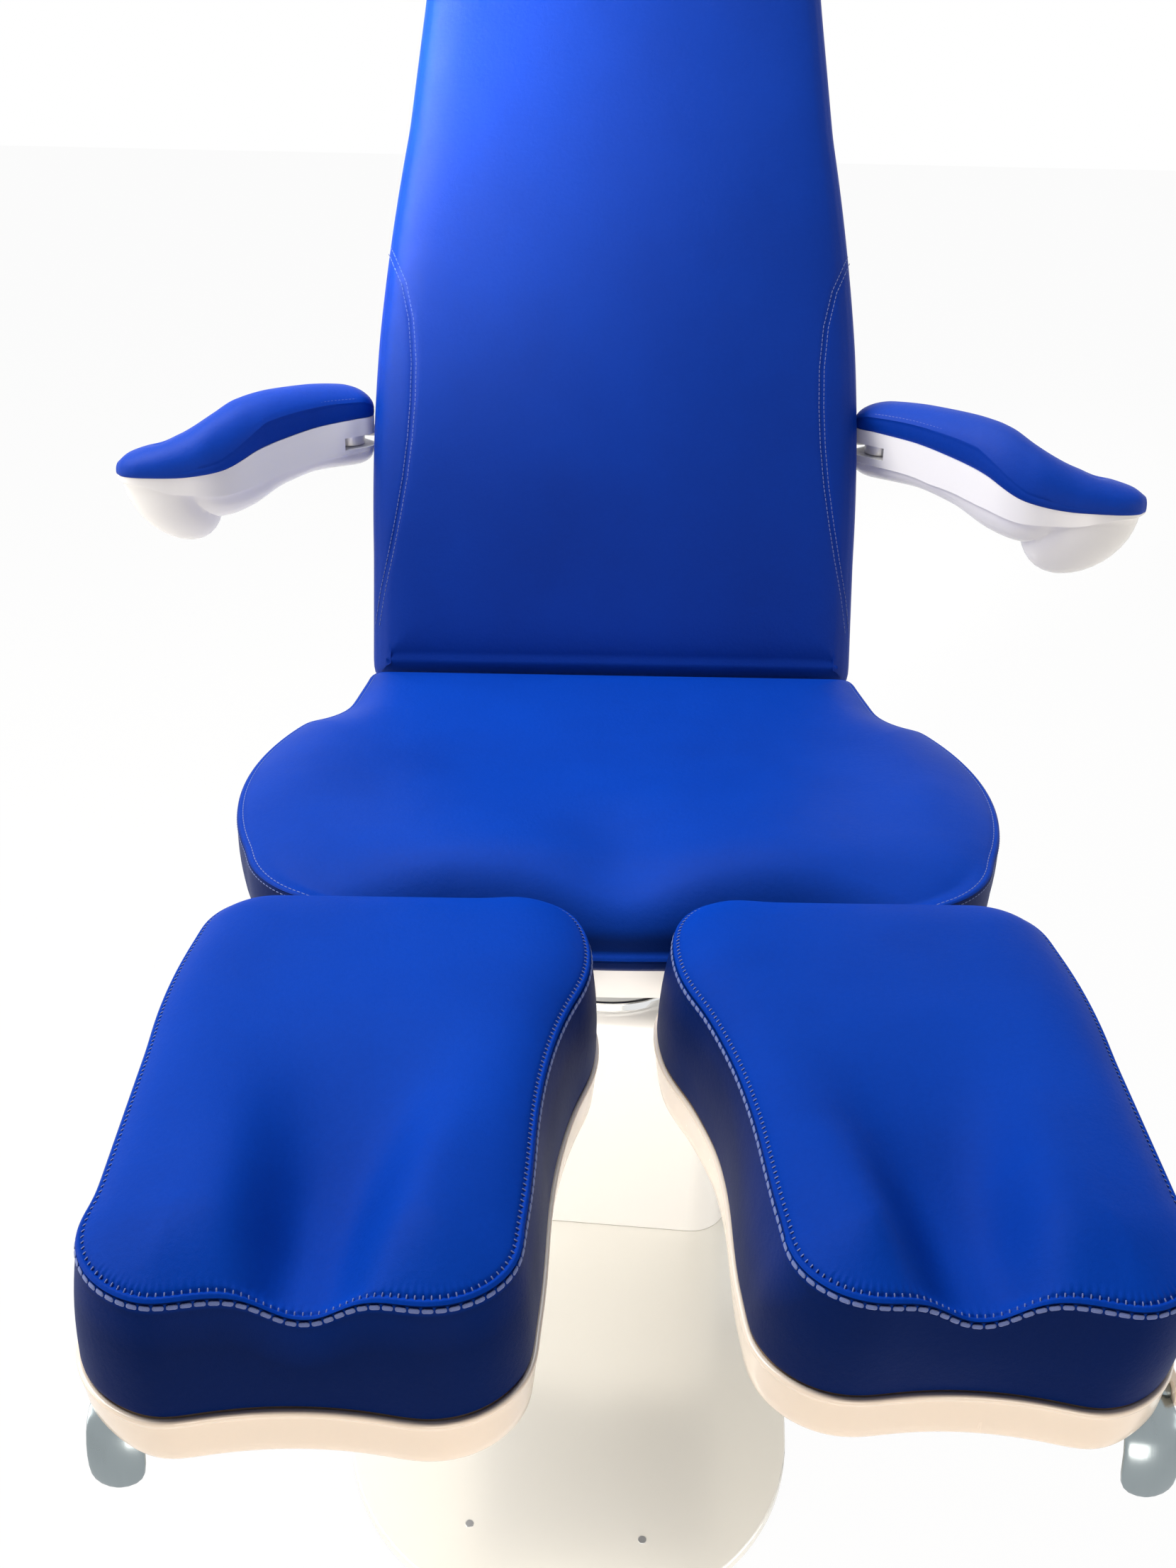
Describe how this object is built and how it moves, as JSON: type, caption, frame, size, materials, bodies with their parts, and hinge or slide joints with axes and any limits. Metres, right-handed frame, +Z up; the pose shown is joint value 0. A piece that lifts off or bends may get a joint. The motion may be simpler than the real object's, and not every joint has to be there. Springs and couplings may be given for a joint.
{
  "type": "podiatry chair",
  "caption": "Podiatry treatment chair on a telescopic column, with a reclining back, swing armrests and divided, calf-shaped leg rests that pitch, spread and slide.",
  "frame": {"origin": "on the floor, on the vertical swivel axis of the seat", "axes": "+Z up, -Y towards the leg rests (the front), +X to the right when the chair is looked at from the front"},
  "size_m": [1.0632, 1.3075, 1.293],
  "materials": {
    "blue_vinyl": "satin, fine grain",
    "white_moulding": "gloss",
    "white_cover": "satin",
    "cream_plate": "gloss",
    "chrome": "polished",
    "steel": "brushed",
    "dark_metal": "satin black",
    "black_plastic": "matte",
    "rubber": "matte",
    "plywood": "raw"
  },
  "bodies": {
    "base": {"base_plate": "cream_plate", "floor_pad": "rubber", "plate_screws": "steel", "power_inlet": "black_plastic", "column_outer_tube": "dark_metal", "foot_bolts": "steel", "fixed_cover_sleeve": "white_cover", "lift_screw": "steel", "lift_motor": "dark_metal", "control_box": "black_plastic"},
    "lift_middle": {"column_middle_tube": "steel", "middle_cover_sleeve": "white_cover", "lift_middle_screw": "steel"},
    "lift_top": {"column_top_tube": "steel", "top_cover_sleeve": "white_cover", "lift_push_tube": "steel", "swivel_ring": "chrome", "swivel_bearing": "dark_metal"},
    "seat": {"swivel_plate": "steel", "swivel_shaft": "steel", "seat_head": "dark_metal", "seat_bolts": "steel", "seat_frame": "dark_metal", "seat_underside_cover": "white_moulding", "seat_cushion": "blue_vinyl", "back_hinge_rod": "steel", "back_actuator_body": "dark_metal", "leg_hinge_bracket_right": "dark_metal", "leg_hinge_pin_right": "steel", "leg_hinge_bracket_left": "dark_metal", "leg_hinge_pin_left": "steel"},
    "back_rod": {"back_actuator_rod": "chrome"},
    "backrest": {"back_frame": "dark_metal", "back_shell": "white_moulding", "back_cushion": "blue_vinyl", "arm_bracket_right": "steel", "arm_bracket_left": "steel"},
    "leg_arm_right": {"leg_arm_right": "dark_metal"},
    "leg_turn_right": {"leg_guide_right": "steel", "leg_pivot_bolt_right": "steel"},
    "leg_rest_right": {"leg_runners_right": "steel", "leg_shell_right": "white_moulding", "leg_board_right": "plywood", "leg_cushion_right": "blue_vinyl"},
    "leg_lever_right": {"leg_lever_right": "chrome"},
    "arm_right": {"arm_pad_right": "blue_vinyl", "arm_shell_right": "white_moulding", "arm_pin_right": "steel"},
    "leg_arm_left": {"leg_arm_left": "dark_metal"},
    "leg_turn_left": {"leg_guide_left": "steel", "leg_pivot_bolt_left": "steel"},
    "leg_rest_left": {"leg_runners_left": "steel", "leg_shell_left": "white_moulding", "leg_board_left": "plywood", "leg_cushion_left": "blue_vinyl"},
    "leg_lever_left": {"leg_lever_left": "chrome"},
    "arm_left": {"arm_pad_left": "blue_vinyl", "arm_shell_left": "white_moulding", "arm_pin_left": "steel"}
  },
  "joints": [
    {"name": "lift_lower_stage", "type": "slide", "parent": "base", "child": "lift_middle", "axis": [0, 0, 1], "range_m": [0, 0.15]},
    {"name": "lift_upper_stage", "type": "slide", "parent": "lift_middle", "child": "lift_top", "axis": [0, 0, 1], "range_m": [0, 0.15]},
    {"name": "seat_swivel", "type": "hinge", "parent": "lift_top", "child": "seat", "pos_m": [0, 0, 0.3], "axis": [0, 0, 1], "range_deg": [-120, 120]},
    {"name": "back_recline", "type": "hinge", "parent": "seat", "child": "backrest", "pos_m": [0, 0.185, 0.505], "axis": [-1, 0, 0], "range_deg": [-8, 66]},
    {"name": "back_rod_slide", "type": "slide", "parent": "seat", "child": "back_rod", "axis": [0, 1, 0], "range_m": [-0.0935, 0.0118]},
    {"name": "arm_swing_right", "type": "hinge", "parent": "backrest", "child": "arm_right", "pos_m": [0.289, 0.292, 0.763], "axis": [0, 0, 1], "range_deg": [-43, 40]},
    {"name": "leg_pitch_right", "type": "hinge", "parent": "seat", "child": "leg_arm_right", "pos_m": [0.175, -0.318, 0.424], "axis": [1, 0, 0], "range_deg": [-3, 60]},
    {"name": "leg_spread_right", "type": "hinge", "parent": "leg_arm_right", "child": "leg_turn_right", "pos_m": [0.175, -0.4, 0.43], "axis": [0, 0, 1], "range_deg": [-3, 8]},
    {"name": "leg_slide_right", "type": "slide", "parent": "leg_turn_right", "child": "leg_rest_right", "axis": [0, -1, 0], "range_m": [0, 0.15]},
    {"name": "leg_release_right", "type": "hinge", "parent": "leg_rest_right", "child": "leg_lever_right", "pos_m": [0.308, -0.716, 0.449], "axis": [1, 0, 0], "range_deg": [-5, 12], "stiffness_Nm_per_rad": 3},
    {"name": "arm_swing_left", "type": "hinge", "parent": "backrest", "child": "arm_left", "pos_m": [-0.289, 0.292, 0.763], "axis": [0, 0, -1], "range_deg": [-46, 37]},
    {"name": "leg_pitch_left", "type": "hinge", "parent": "seat", "child": "leg_arm_left", "pos_m": [-0.175, -0.318, 0.424], "axis": [1, 0, 0], "range_deg": [-3, 60]},
    {"name": "leg_spread_left", "type": "hinge", "parent": "leg_arm_left", "child": "leg_turn_left", "pos_m": [-0.175, -0.4, 0.43], "axis": [0, 0, -1], "range_deg": [-3, 8]},
    {"name": "leg_slide_left", "type": "slide", "parent": "leg_turn_left", "child": "leg_rest_left", "axis": [0, -1, 0], "range_m": [0, 0.15]},
    {"name": "leg_release_left", "type": "hinge", "parent": "leg_rest_left", "child": "leg_lever_left", "pos_m": [-0.308, -0.716, 0.449], "axis": [1, 0, 0], "range_deg": [-5, 12], "stiffness_Nm_per_rad": 3}
  ],
  "couplings": [
    {"joint": "lift_upper_stage", "follows": "lift_lower_stage", "ratio": 1},
    {"joint": "back_rod_slide", "follows": "back_recline", "m_per_rad": -0.0804}
  ]
}
